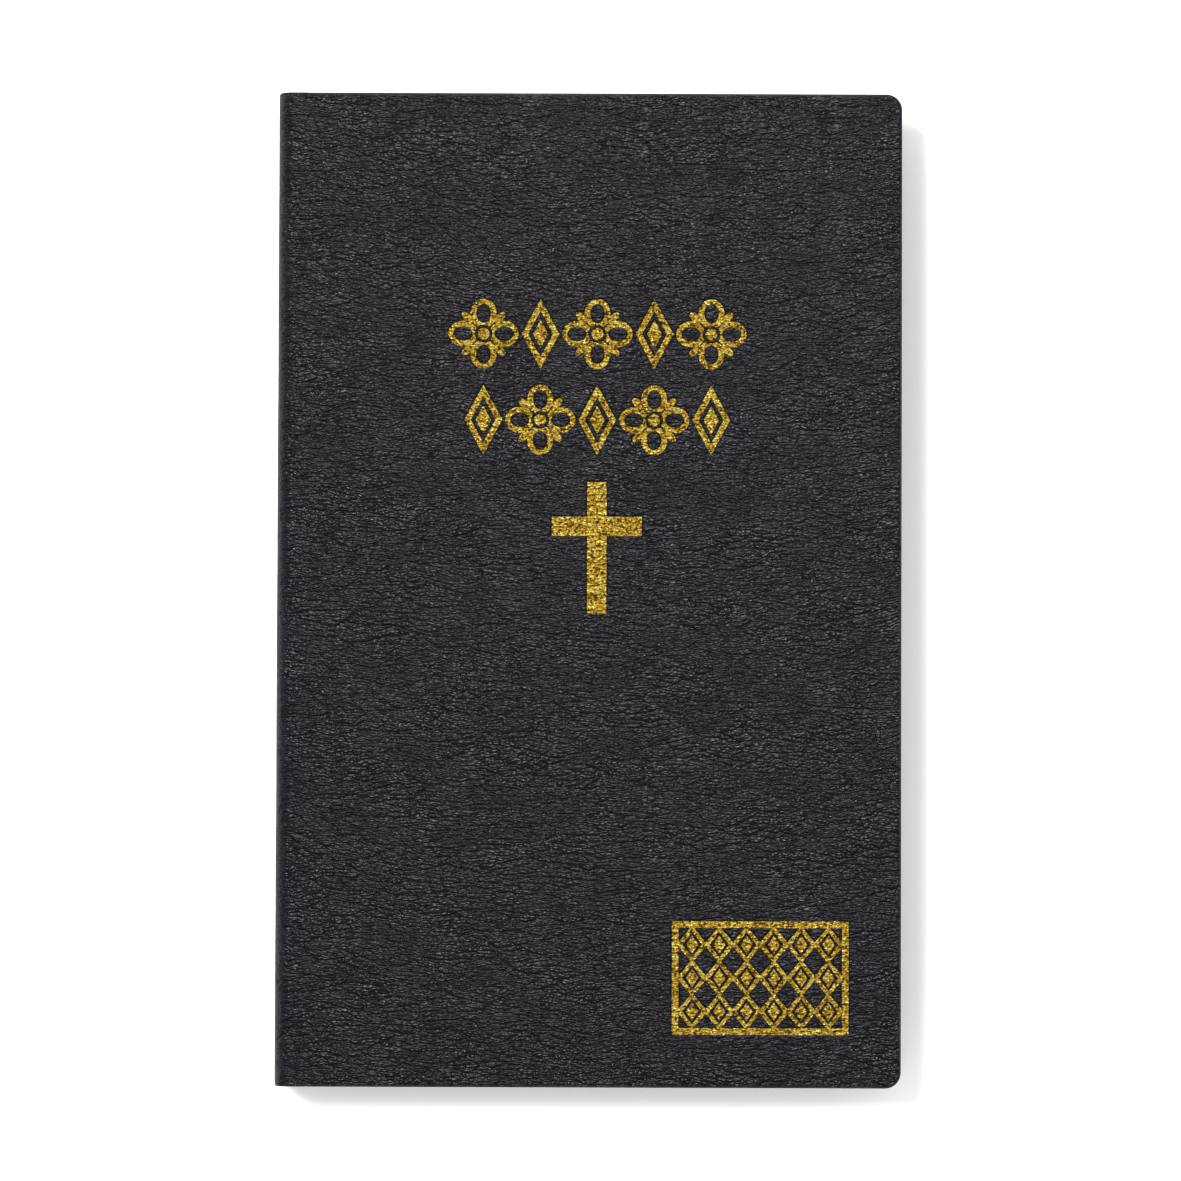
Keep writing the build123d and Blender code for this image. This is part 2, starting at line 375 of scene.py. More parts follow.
def paper_material(name, light, dark, fibre=1.0):
    """Matte paper with a faint mottle and fibres."""
    graph = Graph(name)
    place = graph.in_mm("Object")
    mottle = graph.noise(place, 0.25, 4.0, 0.6)
    fibres = graph.noise(graph.mapped(place, (0.6, 2.4, 1.0), 20), 1.6, 5.0, 0.7)
    colour = graph.blend_colours(graph.ramp(mottle, 0.3, 0.7), dark, light)
    return graph.finish(
        Base_Color=colour,
        Roughness=graph.ramp(fibres, 0.3, 0.7, 0.72, 0.85),
        Normal=graph.bump(fibres, FIBRE_DEPTH * fibre, 0.5),
    )


GILT_ROUGHNESS = 0.36
LEAF_LINE_DEPTH = 0.00006


def gilt_edge(graph, place):
    """Colour and height of leaf edges trimmed and gilt together, with the leaves' fine lines."""
    leaves = graph.noise(graph.mapped(place, (0.02, 0.02, 9.0)), 1.0, 3.0, 0.7)
    streaks = graph.noise(graph.mapped(place, (0.08, 0.08, 2.2)), 1.0, 2.0, 0.5)
    wear = graph.noise(graph.mapped(place, (0.12, 0.12, 0.3)), 1.0, 3.0, 0.6)
    lines = graph.ramp(leaves, 0.36, 0.62)
    gold = graph.blend_colours(lines, (0.42, 0.24, 0.05, 1), (0.86, 0.60, 0.20, 1))
    worn = graph.ramp(wear, 0.62, 0.8, 0.0, 0.45)
    colour = graph.blend_colours(worn, gold, (0.72, 0.52, 0.26, 1))
    height = graph.math("MULTIPLY", leaves, 0.7)
    height = graph.math("ADD", height, graph.math("MULTIPLY", streaks, 0.3))
    return colour, height


def block_material():
    """Sections: cream paper faces and gilt edges."""
    graph = Graph("gilt_block")
    place = graph.in_mm("Object")
    normal_z = graph.add("SeparateXYZ", {0: graph.coordinates.outputs["Normal"]}).outputs[2]
    face = graph.ramp(graph.math("ABSOLUTE", normal_z), 0.5, 0.6)
    gold, height = gilt_edge(graph, place)
    mottle = graph.noise(place, 0.25, 4.0, 0.6)
    paper = graph.blend_colours(mottle, PAGE_DARK, PAGE_LIGHT)
    return graph.finish(
        Base_Color=graph.blend_colours(face, gold, paper),
        Metallic=graph.math("SUBTRACT", 1.0, face),
        Roughness=graph.ramp(face, 0.0, 1.0, GILT_ROUGHNESS, 0.8),
        Normal=graph.bump(height, LEAF_LINE_DEPTH, 0.7),
    )


def gilt_material():
    """Gilt edge of a single leaf."""
    graph = Graph("gilt_edge")
    place = graph.in_mm("Object")
    gold, height = gilt_edge(graph, place)
    normal = graph.bump(height, LEAF_LINE_DEPTH, 0.7)
    return graph.finish(Base_Color=gold, Metallic=1.0, Roughness=GILT_ROUGHNESS, Normal=normal)


WEAVE_DEPTH = 0.00008


def cloth_material(name, light, dark, pitch):
    """Plain woven cloth with threads `pitch` millimetres apart, darker where the weave dips as painted
    shade.
    """
    graph = Graph(name)
    place = graph.in_mm("Object")
    parts = graph.add("SeparateXYZ", {0: place})
    turn = 2 * math.pi / pitch
    warp = graph.math("SINE", graph.math("MULTIPLY", parts.outputs[1], turn))
    weft_place = graph.math("ADD", parts.outputs[0], parts.outputs[2])
    weft = graph.math("SINE", graph.math("MULTIPLY", weft_place, turn))
    weave = graph.ramp(graph.math("MULTIPLY", warp, weft), -1.0, 1.0)
    fuzz = graph.noise(place, 5.0, 3.0, 0.6)
    # Colour darker in the weave's dips between threads: painted shade.
    colour = graph.blend_colours(weave, dark, light)
    return graph.finish(
        Base_Color=graph.blend_colours(graph.ramp(fuzz, 0.3, 0.7, 0.0, 0.3), colour, dark),
        Roughness=0.85,
        Sheen_Weight=0.25,
        Normal=graph.bump(weave, WEAVE_DEPTH, 0.8),
    )


CARD_FIBRE_DEPTH = 0.00008


def card_material():
    """Grey-brown fibre board."""
    graph = Graph("binders_board")
    place = graph.in_mm("Object")
    fibres = graph.noise(graph.mapped(place, (0.5, 1.0, 3.0)), 1.2, 5.0, 0.7)
    mottle = graph.ramp(fibres, 0.3, 0.7)
    colour = graph.blend_colours(mottle, (0.16, 0.13, 0.10, 1), (0.36, 0.32, 0.26, 1))
    normal = graph.bump(fibres, CARD_FIBRE_DEPTH, 0.6)
    return graph.finish(Base_Color=colour, Roughness=0.9, Normal=normal)


WINDING_PITCH = 0.55
STRAND_DEPTH = 0.00004


def headband_material():
    """Silk wound in two colours, which change at each winding."""
    graph = Graph("headband_silk")
    place = graph.in_mm("UV")
    parts = graph.add("SeparateXYZ", {0: place})
    band = graph.math("SINE", graph.math("MULTIPLY", parts.outputs[1], math.pi / WINDING_PITCH))
    strands = graph.noise(graph.mapped(place, (1.0, 14.0, 1.0)), 1.0, 2.0, 0.5)
    gold = graph.blend_colours(strands, (0.42, 0.25, 0.06, 1), (0.75, 0.53, 0.20, 1))
    ivory = graph.blend_colours(strands, (0.55, 0.50, 0.40, 1), (0.85, 0.82, 0.72, 1))
    return graph.finish(
        Base_Color=graph.blend_colours(graph.ramp(band, -0.1, 0.1), gold, ivory),
        Roughness=0.45,
        Sheen_Weight=0.3,
        Normal=graph.bump(strands, STRAND_DEPTH, 0.6),
    )


LEATHER_SKIN = leather_material()
FOIL = foil_material()
BLOCK = block_material()
GILT = gilt_material()
PAGE = paper_material("bible_paper", PAGE_LIGHT, PAGE_DARK)
ENDPAPER = paper_material("endpaper", (0.56, 0.54, 0.485, 1), (0.50, 0.48, 0.425, 1), 1.6)
MULL_CLOTH = cloth_material("mull_cloth", (0.74, 0.71, 0.62, 1), (0.40, 0.37, 0.30, 1), 0.9)
GUARD_CLOTH = cloth_material("guard_cloth", (0.045, 0.043, 0.048, 1), (0.012, 0.012, 0.014, 1), 0.5)
CARD = card_material()
SILK = headband_material()


# ---------------------------------------------------------------- the hide


# Centre of the rounding at each fore-edge corner of a cover
ARC_X = FORE_X - COVER_CORNER
ARC_Y = HALF_HEIGHT - COVER_CORNER
CORNER_TURN = 9
FOLD_IN_START = 0.3
FOLD_IN_SPAN = 0.7


def corner_stations(centre_y, first, last):
    """Rows round one fore-edge corner, between two angles in degrees."""
    rows = []
    for t in np.radians(np.arange(first, last, CORNER_TURN)):
        c, s = math.cos(t), math.sin(t)
        rows.append((ARC_X + COVER_CORNER * c, centre_y + COVER_CORNER * s, -c, -s))
    return rows


def rim_stations():
    """Places round a cover, as rows of x, y and the inward direction, anticlockwise."""
    joint_places = np.arange(CORNER_X, BOARD_X + 0.1, BEND_STEP)
    edge_places = np.linspace(BOARD_X + 0.4, ARC_X, EDGE_COUNT)
    along = np.concatenate([joint_places, edge_places])
    across = np.linspace(1, -1, CORNER_LINE_COUNT)[1:-1]
    rows = [(x, -HALF_HEIGHT, 0, 1) for x in along]
    rows += corner_stations(-ARC_Y, CORNER_TURN - 90, 0)
    rows += [(FORE_X, y, -1, 0) for y in np.linspace(-ARC_Y, ARC_Y, FORE_EDGE_COUNT)]
    rows += corner_stations(ARC_Y, CORNER_TURN, 90)
    rows += [(x, HALF_HEIGHT, 0, -1) for x in along[::-1]]
    rows += [(CORNER_X, HALF_HEIGHT * t, 0, -t) for t in across]
    return np.array(rows)


def wrap_depth(x):
    """Thickness of a cover's leather: one layer at the joint, and the board's wrapping beyond it."""
    folded = smooth((x - JOINT_X - FOLD_IN_START) / FOLD_IN_SPAN)
    return LEATHER + (WRAPPED - LEATHER) * folded


LEVEL_WITHIN = 0.001
OUTLINE_SAMPLE = 0.5
SAMPLE_MARGIN = 3


def foil_outlines():
    """Corners and edges of the foils' outlines, seen from above."""
    places, edges = {}, []
    for name in FOIL_NODES:
        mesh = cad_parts[name].data
        spots = [tuple(np.round(np.array(v.co) / MM, 4)) for v in mesh.vertices]
        top = max(spot[2] for spot in spots)
        seen = {}
        for polygon in mesh.polygons:
            ring = [spots[i] for i in polygon.vertices]
            if min(spot[2] for spot in ring) < top - LEVEL_WITHIN:
                continue
            for first, second in zip(ring, ring[1:] + ring[:1]):
                key = tuple(sorted((first[:2], second[:2])))
                seen[key] = seen.get(key, 0) + 1
        for (first, second), count in seen.items():
            if count == 1:
                start = places.setdefault(first, len(places))
                end = places.setdefault(second, len(places))
                edges.append((start, end))
    return np.array(list(places)), edges


OUTLINE, OUTLINE_EDGES = foil_outlines()


# How far from the outlines a distance is worked out
OUTLINE_REACH = 1.0


def outline_distance(points):
    """Distance of each point to the foils' outlines, up to OUTLINE_REACH, below 0 inside a foil."""
    starts = OUTLINE[[a for a, b in OUTLINE_EDGES]]
    ends = OUTLINE[[b for a, b in OUTLINE_EDGES]]
    distance = np.full(len(points), OUTLINE_REACH)
    samples = []
    for start, end in zip(starts, ends):
        count = max(2, int(np.linalg.norm(end - start) / OUTLINE_SAMPLE) + 2)
        samples += [start + (end - start) * t for t in np.linspace(0, 1, count)]
    tree = KDTree(len(samples))
    for index, spot in enumerate(samples):
        tree.insert((spot[0], spot[1], 0), index)
    tree.balance()
    look = OUTLINE_REACH + SAMPLE_MARGIN
    close = [i for i, p in enumerate(points) if tree.find((p[0], p[1], 0))[2] < look]
    near = points[close]
    best = np.full(len(near), OUTLINE_REACH)
    inside = np.zeros(len(near), dtype=bool)
    for (x0, y0), (x1, y1) in zip(starts, ends):
        dx, dy = x1 - x0, y1 - y0
        t = ((near[:, 0] - x0) * dx + (near[:, 1] - y0) * dy) / (dx * dx + dy * dy)
        t = np.clip(t, 0, 1)
        gap = np.hypot(near[:, 0] - x0 - t * dx, near[:, 1] - y0 - t * dy)
        best = np.minimum(best, gap)
        crosses = (y0 > near[:, 1]) != (y1 > near[:, 1])
        if dy:
            inside ^= crosses & (near[:, 0] < x0 + (near[:, 1] - y0) * dx / dy)
    distance[close] = np.where(inside, -best, best)
    return distance


MERGE_WITHIN = 1e-5
INSIDE_TRIANGLES = 1


def triangulated(ring, inner, extra_points=(), extra_edges=()):
    """Triangles that fill a ring through given inner points, as the points used and the faces.

    The ring's points keep their numbers, and the inner points follow them."""
    every = [Vector(p) for group in (ring, inner, extra_points) for p in group]
    shift = len(ring) + len(inner)
    edges = [(a + shift, b + shift) for a, b in extra_edges]
    outline = [list(range(len(ring)))]
    made = delaunay_2d_cdt(every, edges, outline, INSIDE_TRIANGLES, MERGE_WITHIN)
    spots, faces, sources = made[0], made[2], made[3]
    number, count = {}, len(every)
    points = [tuple(p) for p in every]
    for index, origin in enumerate(sources):
        if origin:
            number[index] = origin[0]
        else:
            number[index] = count
            points.append(tuple(spots[index]))
            count += 1
    return np.array(points), [[number[i] for i in face] for face in faces]


def staggered_grid(low_x, high_x, step_x, step_y, low_y=-HALF_HEIGHT, high_y=HALF_HEIGHT):
    """Rows of places, every other row moved half a step."""
    spots = []
    for row, y in enumerate(np.arange(low_y, high_y, step_y)):
        xs = np.arange(low_x + (row % 2) * step_x / 2, high_x, step_x)
        spots.append(np.column_stack([xs, np.full(len(xs), y)]))
    return np.vstack(spots)


def well_inside(points, margin):
    """The points that are at least `margin` inside the cover's outline."""
    x, y = points[:, 0], np.abs(points[:, 1])
    flat = (x < FORE_X - margin) & (y < HALF_HEIGHT - margin)
    corner = (x > ARC_X) & (y > ARC_Y)
    rounded_off = corner & (np.hypot(x - ARC_X, y - ARC_Y) > COVER_CORNER - margin)
    return points[flat & ~rounded_off]


# Distances from the foils' outlines: the fine mesh's start and end, and the plain mesh's start inside
FINE_START = 0.1
FINE_END = 0.55
FOIL_MARGIN = 0.3
FINE_BOX_MARGIN = 1
OUTER_MARGIN = EDGE_ROUND + 0.35
UNDER_MARGIN = 1.3


def outer_points(stamped):
    """Inner places of a cover's outer face: fine at the joint and round the tooling."""
    bend = staggered_grid(CORNER_X + BEND_STEP, BOARD_X + 0.2, BEND_STEP, BEND_STEP_Y)
    field = staggered_grid(BOARD_X + 0.5, FORE_X, GRID_X, GRID_Y)
    if stamped:
        gap = outline_distance(field)
        field = field[(gap > FINE_END) | (gap < -FOIL_MARGIN)]
        low = OUTLINE.min(axis=0) - FINE_BOX_MARGIN
        high = OUTLINE.max(axis=0) + FINE_BOX_MARGIN
        fine = staggered_grid(low[0], high[0], FINE_X, FINE_Y, low[1], high[1])
        gap = outline_distance(fine)
        fine = fine[(gap > FINE_START) & (gap < FINE_END)]
        field = np.vstack([field, fine])
    return well_inside(np.vstack([bend, field]), OUTER_MARGIN)


def under_points():
    """Inner places of a cover's inside face."""
    bend = staggered_grid(CORNER_X + BEND_STEP, BOARD_X + 0.6, BEND_STEP, UNDER_BEND_STEP_Y)
    field = staggered_grid(BOARD_X + 2, FORE_X, UNDER_STEP, UNDER_STEP)
    return well_inside(np.vstack([bend, field]), UNDER_MARGIN)


def edge_profile(wrap):
    """Insets and depths down a cover's rounded edge, from its outer face to its inside face."""
    outer_round = np.minimum(EDGE_ROUND, 0.6 * wrap)
    inner_round = np.minimum(INNER_EDGE_ROUND, 0.35 * wrap)
    profile = []
    for a in np.radians(np.arange(0, 91, 15)):
        profile.append((outer_round * (1 - math.sin(a)), outer_round * (1 - math.cos(a))))
    for a in np.radians(np.arange(0, 91, 30)):
        profile.append((inner_round * (1 - math.cos(a)), wrap - inner_round * (1 - math.sin(a))))
    return profile


def stamped_height(flat):
    """Height of the outer face at flat places: pressed in under the foils, and clear of them."""
    gap = outline_distance(flat)
    height = -DEBOSS * (1 - smooth(gap / DEBOSS_WALL))
    height[gap < -FOIL_EDGE] -= FOIL_GAP
    return height


def cover_hide(name, front):
    """One cover's leather: outer face, rounded edges and inside face, out from the spine's corner."""
    stations = rim_stations()
    places, inward = stations[:, :2], stations[:, 2:]
    rings, layouts = [], []
    for inset, depth in edge_profile(wrap_depth(stations[:, 0])):
        rings.append(np.column_stack([places + inward * inset[:, None], -depth]))
        layouts.append(places + inward * (inset - depth)[:, None])
    tooling = (OUTLINE, OUTLINE_EDGES) if front else ((), ())
    flat, faces = triangulated(rings[0][:, :2], outer_points(front), *tooling)
    height = stamped_height(flat) if front else np.zeros(len(flat))
    count = len(stations)
    points = [np.column_stack([flat, height])]
    layout = [flat]
    fade = [1.0] * len(flat)
    base = 0
    for step in range(1, len(rings)):
        start = sum(len(p) for p in points)
        points.append(rings[step])
        layout.append(layouts[step])
        fade += [1 - step / (len(rings) - 1)] * count
        for i in range(count):
            j = (i + 1) % count
            faces.append([base + i, start + i, start + j, base + j])
        base = start
    spots, under_faces = triangulated(rings[-1][:, :2], under_points())
    start = sum(len(p) for p in points)
    inner_spots = spots[count:]
    points.append(np.column_stack([inner_spots, -wrap_depth(inner_spots[:, 0])]))
    layout.append(inner_spots)
    fade += [0.0] * len(inner_spots)
    number = [base + i if i < count else start + i - count for i in range(len(spots))]
    faces += [[number[i] for i in face][::-1] for face in under_faces]
    points = np.vstack(points)
    layout = np.vstack(layout)
    if not front:
        layout = np.column_stack([back_layout(layout[:, 0]), layout[:, 1]])
    points[:, 2] += np.array(fade) * hide_relief(layout[:, 0], layout[:, 1])
    if front:
        points[:, 2] += THICKNESS
    else:
        points[:, 2] = -points[:, 2]
        faces = [face[::-1] for face in faces]
    used = sorted({i for face in faces for i in face})
    place = {old: new for new, old in enumerate(used)}
    faces = [[place[i] for i in face] for face in faces]
    return sharpened(add_piece(name, points[used], faces, layout[used]))


SPINE_PATH = math.pi * SPINE_ROUND + THICKNESS - 2 * SPINE_ROUND


def back_layout(x):
    """Flat place of a back cover point: past the spine, on the same hide."""
    return CORNER_X - SPINE_PATH - (x - CORNER_X)


SPINE_CORNER_COUNT = 15
SPINE_STEP = 0.6
SPINE_BEND_STEP = 0.16


def spine_path():
    """Places down the spine's outer face, with outward directions and flat places."""
    quarter = math.pi * SPINE_ROUND / 2
    top, end = THICKNESS - SPINE_ROUND, CORNER_X - SPINE_PATH
    above, below = MIDDLE + SPINE_BEND, MIDDLE - SPINE_BEND
    turns = np.linspace(0, math.pi / 2, SPINE_CORNER_COUNT)
    straight = np.concatenate(
        [
            np.arange(top - SPINE_STEP, above + 0.1, -SPINE_STEP),
            np.arange(above, below - 0.01, -SPINE_BEND_STEP),
            np.arange(below - 0.4, SPINE_ROUND + 0.1, -SPINE_STEP),
        ]
    )
    rows = []
    for t in turns:
        c, s = math.cos(t), math.sin(t)
        x, z = CORNER_X - SPINE_ROUND * s, top + SPINE_ROUND * c
        rows.append((x, z, -s, c, CORNER_X - SPINE_ROUND * t))
    for z in straight:
        rows.append((SPINE_X, z, -1, 0, CORNER_X - quarter - (top - z)))
    for t in turns:
        c, s = math.cos(t), math.sin(t)
        x, z = CORNER_X - SPINE_ROUND * c, SPINE_ROUND - SPINE_ROUND * s
        rows.append((x, z, -c, -s, end + quarter - SPINE_ROUND * t))
    return np.array(rows)


def bent_sheet(name, near, far, path, stations, relief=False, edge=0.0):
    """Closed sheet between two depths under a path in XZ, swept along Y with rounded ends.

    The far depth is one number, or one for each place on the path."""
    places, outward, flat = path[:, :2], path[:, 2:4], path[:, 4]
    count = len(path)
    points, layout = [], []
    for y, shrink in stations:
        depth_near = near + shrink * edge
        depth_far = np.broadcast_to(far - shrink * edge * 0.5, count)
        level = np.full(count, y)
        lift = np.zeros(count)
        if relief:
            lift = hide_relief(flat, level) * (1 - shrink)
        outer = places + outward * (lift - depth_near)[:, None]
        inner = places - outward * depth_far[:, None]
        for line, across in ((outer, flat), (inner[::-1], flat[::-1])):
            points.append(np.column_stack([line[:, 0], level, line[:, 1]]))
            layout.append(np.column_stack([across, level]))
    ring = 2 * count
    faces = []
    for row in range(len(stations) - 1):
        start, after = row * ring, (row + 1) * ring
        for i in range(ring):
            j = (i + 1) % ring
            faces.append([start + i, after + i, after + j, start + j])
    last = (len(stations) - 1) * ring
    for i in range(count - 1):
        faces.append([i, i + 1, ring - 2 - i, ring - 1 - i])
        faces.append([last + ring - 1 - i, last + ring - 2 - i, last + i + 1, last + i])
    return sharpened(add_piece(name, np.vstack(points), faces, np.vstack(layout)))


END_TURN = 18
SPINE_STEP_Y = 0.85
SPINE_END_ROUND = 0.5
SPINE_END_THIN = 0.4


def end_stations(half_length, step, edge):
    """Places along Y from tail to head, close together where the ends round off."""
    turns = np.radians(np.arange(0, 91, END_TURN))
    tail = [(-half_length + edge * (1 - math.sin(t)), 1 - math.cos(t)) for t in turns[::-1]]
    count = int(2 * (half_length - edge) / step)
    between = [(y, 0.0) for y in np.linspace(edge - half_length, half_length - edge, count)[1:-1]]
    head = [(-y, shrink) for y, shrink in tail[::-1]]
    return tail + between + head


front_hide = dress(cover_hide("front_cover_hide", True), LEATHER_SKIN)
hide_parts("front_cover_leather")
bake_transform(front_hide)

back_hide = dress(cover_hide("back_cover_hide", False), LEATHER_SKIN)
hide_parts("back_cover_leather")
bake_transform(back_hide)

PINCH_START = 0.3
PINCH_SPAN = 0.9
SPINE_PLACES = spine_path()
FULL_DEPTH = smooth((np.abs(SPINE_PLACES[:, 1] - MIDDLE) - PINCH_START) / PINCH_SPAN)
SPINE_DEPTHS = PINCHED + (LEATHER - PINCHED) * FULL_DEPTH
SPINE_STATIONS = end_stations(HALF_HEIGHT, SPINE_STEP_Y, SPINE_END_ROUND)
spine_hide = bent_sheet(
    "spine_hide", 0.0, SPINE_DEPTHS, SPINE_PLACES, SPINE_STATIONS, True, SPINE_END_THIN
)
dress(spine_hide, LEATHER_SKIN)
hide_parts("spine_leather_front", "spine_leather_rear")
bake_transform(spine_hide)


# ---------------------------------------------------------------- leaves


LEAF_CORNER_TURN = 7.5
LEAF_ROWS = 41
LEAF_COLUMNS = 60
PASTEDOWN_COLUMNS = 120
PASTEDOWN_CORNER = 1.0


def sheet(name, start_x, low, high, corner, columns):
    """Thin closed sheet inside a box, with two rounded fore-edge corners, in columns across X."""
    half_height, arc_x = high[1], high[0] - corner
    straight = np.linspace(start_x, arc_x, columns)
    turns = np.radians(np.arange(LEAF_CORNER_TURN, 91, LEAF_CORNER_TURN))
    xs = np.concatenate([straight, arc_x + corner * np.sin(turns)])
    rounded = half_height - corner + np.sqrt(np.maximum(corner**2 - (xs - arc_x) ** 2, 0))
    reach = np.where(xs > arc_x, rounded, half_height)
    rows = np.linspace(-1, 1, LEAF_ROWS)
    points, layout = [], []
    for z in (high[2], low[2]):
        for x, half in zip(xs, reach):
            points += [(x, half * t, z) for t in rows]
            layout += [(x, half * t) for t in rows]
    width, size = len(rows), len(xs) * len(rows)
    faces = []
    for i in range(len(xs) - 1):
        for j in range(width - 1):
            a = i * width + j
            faces.append([a, a + width, a + width + 1, a + 1])
            faces.append([a + size, a + size + 1, a + size + width + 1, a + size + width])
    for j in range(width - 1):
        faces.append([j, j + 1, size + j + 1, size + j])
        last = (len(xs) - 1) * width + j
        faces.append([last, size + last, size + last + 1, last + 1])
    for i in range(len(xs) - 1):
        a, b = i * width, (i + 1) * width
        faces.append([a, size + a, size + b, b])
        a, b = a + width - 1, b + width - 1
        faces.append([a, b, size + b, size + a])
    return sharpened(add_piece(name, points, faces, layout))


LEAF_START = FOLD_X + 0.12
for half, block in (("front", "front_block"), ("rear", "rear_block")):
    for number in (1, 2, 3):
        node = f"middle_leaf_{half}_{number}"
        low, high = box_mm(node)
        leaf = sheet(f"{node}_sheet", LEAF_START, low, high, BLOCK_CORNER, LEAF_COLUMNS)
        dress(leaf, PAGE, GILT)
        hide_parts(node)
        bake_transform(leaf)

for half, block in (("front", "front_block"), ("back", "rear_block")):
    low, high = box_mm(f"{half}_flyleaf")
    leaf = sheet(f"{half}_flyleaf_sheet", low[0], low, high, BLOCK_CORNER, LEAF_COLUMNS)
    dress(leaf, ENDPAPER, GILT)
    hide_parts(f"{half}_flyleaf")
    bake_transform(leaf)
    low, high = box_mm(f"{half}_pastedown")
    pasted = sheet(f"{half}_pastedown_sheet", low[0], low, high, PASTEDOWN_CORNER, PASTEDOWN_COLUMNS)
    dress(pasted, ENDPAPER, ENDPAPER)
    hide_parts(f"{half}_pastedown")
    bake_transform(pasted)


# ---------------------------------------------------------------- headbands and the middle fold


BEAD_RADIUS = 0.7
BEAD_SIDES = 20
BEAD_STEP = 0.055
WINDING_RIDGE = 0.07


def headband_bead(end, side):
    """Wound silk bead over the leaves' edge, through the whole thickness."""
    low, high = box_mm(f"headband_{end}_front")
    bottom = box_mm(f"headband_{end}_rear")[0][2]
    centre_x = high[0] - BEAD_RADIUS
    centre_y = (high[1] if side > 0 else low[1]) - side * BEAD_RADIUS
    turns = np.linspace(0, 2 * math.pi, BEAD_SIDES, endpoint=False)
    places = np.arange(bottom, high[2] + 0.01, BEAD_STEP)
    points, layout, faces = [], [], []
    for z in places:
        ridge = BEAD_RADIUS - WINDING_RIDGE * (1 - abs(math.sin(math.pi * z / WINDING_PITCH)))
        for t in turns:
            points.append((centre_x + ridge * math.cos(t), centre_y + ridge * math.sin(t), z))
            layout.append((t * BEAD_RADIUS, z))
    for row in range(len(places) - 1):
        for k in range(BEAD_SIDES):
            a, b = row * BEAD_SIDES + k, row * BEAD_SIDES + (k + 1) % BEAD_SIDES
            faces.append([a, b, b + BEAD_SIDES, a + BEAD_SIDES])
    faces.append(list(range(BEAD_SIDES))[::-1])
    faces.append([len(points) - BEAD_SIDES + k for k in range(BEAD_SIDES)])
    bead = dress(add_piece(f"headband_{end}_bead", points, faces, layout), SILK)
    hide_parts(f"headband_{end}_front", f"headband_{end}_rear")
    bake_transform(bead)


def headband_tab(end, side, half, body):
    """Cloth that carries the bead, glued to the spine between the mull and the leaves' end."""
    low, high = box_mm(f"headband_{end}_{half}")
    if side > 0:
        ys = (low[1], high[1] - BEAD_RADIUS)
    else:
        ys = (low[1] + BEAD_RADIUS, high[1])
    corners = [(x, y, z) for x in (low[0], FOLD_X) for y in ys for z in (low[2], high[2])]
    faces = [[0, 1, 3, 2], [4, 6, 7, 5], [0, 4, 5, 1], [2, 3, 7, 6], [0, 2, 6, 4], [1, 5, 7, 3]]
    tab = dress(add_piece(f"headband_{end}_tab_{half}", corners, faces), MULL_CLOTH)
    tab.data.shade_flat()
    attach(tab, body)


for end, side in (("head", 1), ("tail", -1)):
    headband_bead(end, side)
    headband_tab(end, side, "front", "front_block")
    headband_tab(end, side, "rear", "rear_block")


MIDDLE_FOLD_THICKNESS = 0.06
MIDDLE_FOLD_COUNT = 25
MIDDLE_FOLD_ROWS = 30
MIDDLE_FOLD_GAP = 0.02
MIDDLE_FOLD_START = FOLD_X + 0.05
MIDDLE_FOLD_DEPTH = FOLD_X - SPINE_X - PINCHED - 0.1
MIDDLE_FOLD_HALF_LENGTH = BLOCK_HEAD - 0.6


def middle_fold():
    """Fold of the middle sheet: it lies level between the two halves when the book is open."""
    low = box_mm("section_11")[1][2] + MIDDLE_FOLD_GAP
    high = box_mm("section_10")[0][2] - MIDDLE_FOLD_GAP
    zs = np.linspace(high, low, MIDDLE_FOLD_COUNT)
    apart = np.abs(zs - MIDDLE) / (high - MIDDLE)
    xs = MIDDLE_FOLD_START - MIDDLE_FOLD_DEPTH * (1 - apart**1.5)
    path = np.column_stack([xs, zs, np.full_like(zs, -1.0), np.zeros_like(zs), zs])
    ys = np.linspace(-MIDDLE_FOLD_HALF_LENGTH, MIDDLE_FOLD_HALF_LENGTH, MIDDLE_FOLD_ROWS)
    rows = [(y, 0.0) for y in ys]
    fold = bent_sheet("middle_fold_sheet", 0.0, MIDDLE_FOLD_THICKNESS, path, rows)
    dress(fold, PAGE)
    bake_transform(fold)


middle_fold()


# ---------------------------------------------------------------- CAD nodes that stay

for name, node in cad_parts.items():
    if name.startswith("section_"):
        material = BLOCK
    elif name.endswith("_foil"):
        material = FOIL
    elif "board" in name or "infill" in name or "liner" in name:
        material = CARD
    elif "lining" in name:
        material = PAGE
    elif "guard" in name:
        material = GUARD_CLOTH
    elif "thread" in name or "mull" in name:
        material = MULL_CLOTH
    else:
        continue
    node.data.materials.clear()
    node.data.materials.append(material)


# ---------------------------------------------------------------- stage, light and camera


FLOOR_REACH = 3.0
FLOOR_DROP = 0.0001


def stage():
    """White floor that the book lies on."""
    signs = ((-1, -1), (1, -1), (1, 1), (-1, 1))
    corners = [(FLOOR_REACH * x, FLOOR_REACH * y, 0) for x, y in signs]
    mesh = bpy.data.meshes.new("floor")
    mesh.from_pydata(corners, [], [(0, 1, 2, 3)])
    floor = bpy.data.objects.new("floor", mesh)
    bpy.context.scene.collection.objects.link(floor)
    floor.location.z = -FLOOR_DROP
    floor.is_shadow_catcher = True
    floor.visible_shadow = False
    graph = Graph("floor_white")
    mesh.materials.append(graph.finish(Base_Color=(0.9, 0.9, 0.9, 1), Roughness=0.8))


def area_light(name, place, size, power):
    """Square soft white light aimed at the book."""
    data = bpy.data.lights.new(name, "AREA")
    data.size = size
    data.energy = power
    lamp = bpy.data.objects.new(name, data)
    bpy.context.scene.collection.objects.link(lamp)
    lamp.location = place
    lamp.rotation_mode = "QUATERNION"
    lamp.rotation_quaternion = (-Vector(place)).to_track_quat("-Z", "Y")
    return lamp


